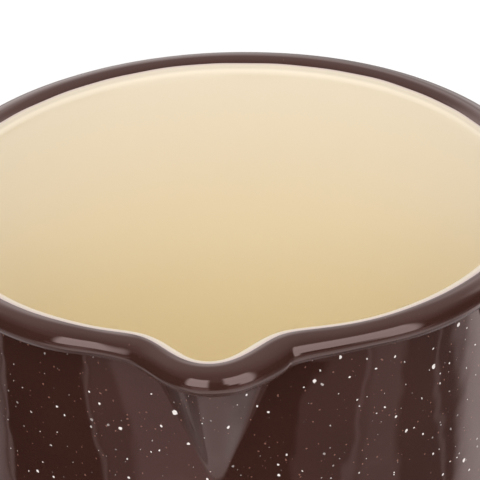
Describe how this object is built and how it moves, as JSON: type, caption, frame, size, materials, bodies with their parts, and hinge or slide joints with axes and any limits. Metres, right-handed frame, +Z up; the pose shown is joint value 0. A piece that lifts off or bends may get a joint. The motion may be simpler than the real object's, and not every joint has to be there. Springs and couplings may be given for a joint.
{
  "type": "candle melting pot",
  "caption": "Round enamelled steel melting pot with a rolled rim, a pressed pouring spout, a long turned wooden handle and a swinging hanging ring.",
  "frame": {"origin": "centre of the flat base, on the surface that the pot stands on", "axes": "+Z up along the pot's axis, the pouring spout along -Y, the handle along +X"},
  "size_m": [0.2996, 0.1477, 0.1171],
  "materials": {
    "brown_enamel": "glossy dark brown vitreous enamel with fine white speckles",
    "cream_enamel": "glossy plain cream vitreous enamel",
    "plated_steel": "zinc plated",
    "stainless": "turned and lightly polished",
    "fibre": "dull pressed fibre",
    "wood": "turned walnut with satin oil",
    "ring_steel": "polished wire"
  },
  "bodies": {
    "pan": {"pot_body": "brown_enamel", "inner_enamel": "cream_enamel", "handle_neck": "brown_enamel", "neck_nut": "plated_steel", "tie_rod": "plated_steel", "flame_guard": "stainless", "heat_washer": "fibre", "front_ferrule": "stainless", "grip": "wood", "end_cap": "stainless", "end_washer": "plated_steel", "hang_eye": "stainless"},
    "ring": {"hanging_ring": "ring_steel"}
  },
  "joints": [
    {"name": "ring_swing", "type": "hinge", "parent": "pan", "child": "ring", "pos_m": [0.22261, 0, 0.11062], "axis": [0, -1, 0], "range_deg": [-50, 256]}
  ]
}
